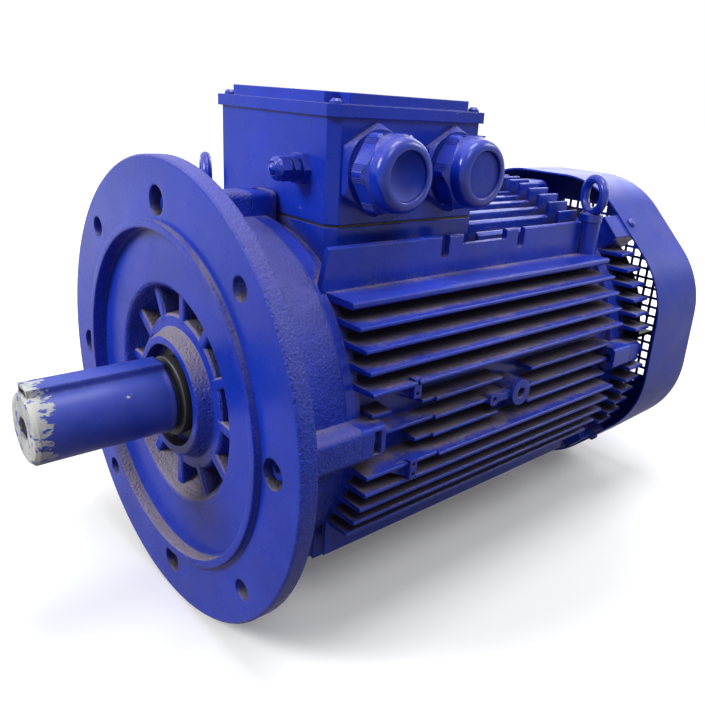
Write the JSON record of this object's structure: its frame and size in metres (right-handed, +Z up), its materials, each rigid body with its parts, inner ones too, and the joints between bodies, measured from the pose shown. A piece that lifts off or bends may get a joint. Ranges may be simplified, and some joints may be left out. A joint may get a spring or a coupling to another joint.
{
  "type": "induction motor",
  "caption": "Flange-mounted three-phase induction motor with a finned housing, terminal box on top, cable glands, lifting eyes and a fan cover.",
  "frame": {"origin": "centre of the flange's mounting face, on the shaft axis", "axes": "-Y along the shaft out of the driven end, +Y towards the fan, +Z up to the terminal box, +X the side of the two large cable glands"},
  "size_m": [0.4, 0.7173, 0.4548],
  "materials": {
    "blue_paint": "glossy enamel on casting, dusty",
    "blue_cover_paint": "glossy enamel on sheet",
    "blue_plastic": "painted over",
    "bearing_steel": "ground",
    "machined_steel": "turned",
    "pressed_steel": "plated",
    "rubber": "matt",
    "core_steel": "laminated",
    "copper_winding": "varnished",
    "cast_aluminium": "cast",
    "brass": "plain",
    "board_moulding": "moulded",
    "fan_plastic": "moulded"
  },
  "bodies": {
    "stator": {"frame": "blue_paint", "de_shield": "blue_paint", "nde_shield": "blue_paint", "fan_cover": "blue_cover_paint", "fan_grille": "blue_cover_paint", "cover_screws": "blue_paint", "de_shield_screws": "blue_paint", "nde_shield_screws": "blue_paint", "de_bearing_outer": "bearing_steel", "nde_bearing_outer": "bearing_steel", "de_bearing_cap": "machined_steel", "de_shaft_seal": "rubber", "nde_wave_spring": "bearing_steel", "stator_core": "core_steel", "stator_windings": "copper_winding", "terminal_box": "blue_paint", "base_gasket": "rubber", "lid_gasket": "rubber", "box_lid": "blue_paint", "lid_screws": "blue_paint", "box_screws": "machined_steel", "terminal_board": "board_moulding", "terminal_studs": "brass", "terminal_links": "brass", "earth_screw": "brass", "gland_bodies": "blue_paint", "gland_nuts": "blue_paint", "gland_locknuts": "pressed_steel", "gland_plug_dished": "blue_plastic", "gland_plug_flat": "blue_plastic", "small_gland_body": "blue_paint", "small_gland_nut": "blue_paint", "small_gland_plug": "blue_plastic", "small_gland_locknut": "pressed_steel", "eyebolt_rear": "blue_paint", "eyebolt_front": "blue_paint"},
    "rotor": {"shaft": "machined_steel", "shaft_key": "machined_steel", "de_bearing_inner": "bearing_steel", "nde_bearing_inner": "bearing_steel", "rotor_core": "core_steel", "rotor_cage_ends": "cast_aluminium", "cooling_fan": "fan_plastic", "fan_circlip": "bearing_steel", "nde_v_ring": "rubber", "de_v_ring": "rubber"},
    "de_ball_set": {"de_bearing_balls": "bearing_steel", "de_bearing_cage": "pressed_steel"},
    "nde_ball_set": {"nde_bearing_balls": "bearing_steel", "nde_bearing_cage": "pressed_steel"},
    "sleeve": {"shaft_sleeve": "blue_plastic"}
  },
  "joints": [
    {"name": "rotor_spin", "type": "hinge", "parent": "stator", "child": "rotor", "pos_m": [0, 0, 0], "axis": [0, 1, 0], "continuous": true},
    {"name": "de_ball_orbit", "type": "hinge", "parent": "stator", "child": "de_ball_set", "pos_m": [0, 0.035, 0], "axis": [0, 1, 0], "continuous": true},
    {"name": "nde_ball_orbit", "type": "hinge", "parent": "stator", "child": "nde_ball_set", "pos_m": [0, 0.508, 0], "axis": [0, 1, 0], "continuous": true},
    {"name": "sleeve_draw", "type": "slide", "parent": "rotor", "child": "sleeve", "axis": [0, -1, 0], "range_m": [0, 0.12]}
  ],
  "couplings": [
    {"joint": "de_ball_orbit", "follows": "rotor_spin", "ratio": 0.4065},
    {"joint": "nde_ball_orbit", "follows": "rotor_spin", "ratio": 0.4065}
  ]
}
